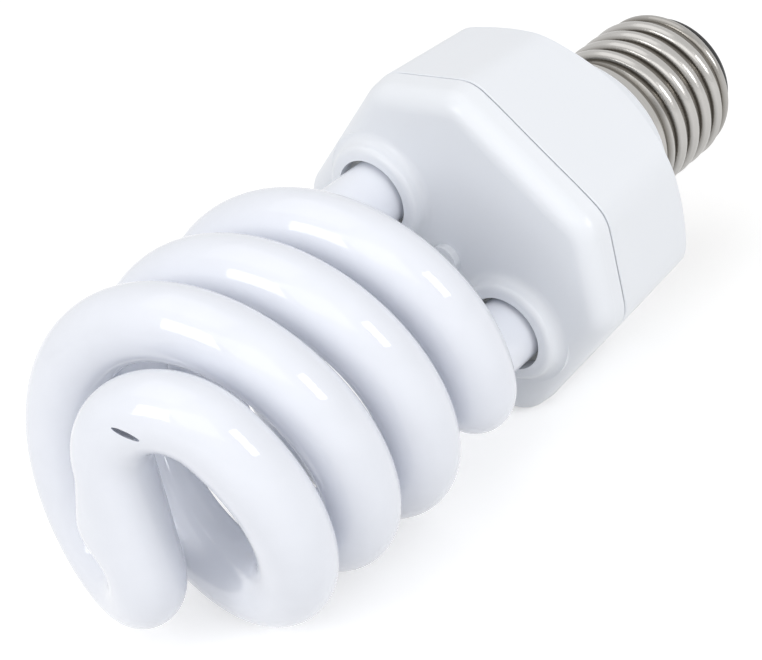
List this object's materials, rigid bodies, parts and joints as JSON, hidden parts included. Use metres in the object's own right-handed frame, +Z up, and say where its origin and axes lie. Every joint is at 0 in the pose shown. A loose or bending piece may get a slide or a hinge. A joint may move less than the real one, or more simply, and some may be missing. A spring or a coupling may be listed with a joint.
{
  "type": "reptile uvb bulb",
  "caption": "Compact fluorescent lamp with a spiral glass tube, a white octagonal ballast housing and a screw cap, lying on its side.",
  "frame": {"origin": "middle of the bounding box's underside: halfway along the lamp, under its axis, on the surface it lies on", "axes": "+X along the lamp's axis from the tube's tip to the cap, +Z up, +Y to the side"},
  "size_m": [0.14, 0.0554, 0.0554],
  "materials": {
    "tube_glass": "clear soda-lime glass over a white phosphor coat",
    "housing_plastic": "moulded white PBT, smooth",
    "nickel_plate": "nickel-plated brass, rolled",
    "black_glass": "black insulating glass",
    "contact_brass": "stamped",
    "solder": "tin solder",
    "white_cement": "cured white cement",
    "board_laminate": "paper laminate",
    "black_sleeve": "shrunk sleeve",
    "brown_epoxy": "dipped epoxy",
    "black_epoxy": "moulded epoxy",
    "ferrite": "sintered ferrite",
    "bobbin_nylon": "moulded nylon",
    "enamelled_copper": "enamelled copper wire",
    "resistor_body": "coated resistor",
    "tinned_wire": "tinned",
    "lead_insulation": "silicone sleeve"
  },
  "bodies": {
    "root": {"glass_tube": "tube_glass", "front_cover": "housing_plastic", "rear_housing": "housing_plastic", "screw_shell": "nickel_plate", "cap_insulator": "black_glass", "centre_contact": "contact_brass", "contact_solder": "solder", "lower_tube_cement": "white_cement", "upper_tube_cement": "white_cement", "circuit_board": "board_laminate", "electrolytic_capacitor": "black_sleeve", "resonant_capacitor": "brown_epoxy", "coupling_capacitor": "brown_epoxy", "high_side_transistor": "black_epoxy", "low_side_transistor": "black_epoxy", "choke_core": "ferrite", "choke_bobbin": "bobbin_nylon", "choke_winding": "enamelled_copper", "feedback_toroid": "ferrite", "toroid_winding": "enamelled_copper", "rectifier_diodes": "black_epoxy", "fuse_resistor": "resistor_body", "lead_posts": "tinned_wire", "tube_leads": "tinned_wire", "live_lead": "lead_insulation", "neutral_lead": "lead_insulation"}
  },
  "joints": []
}
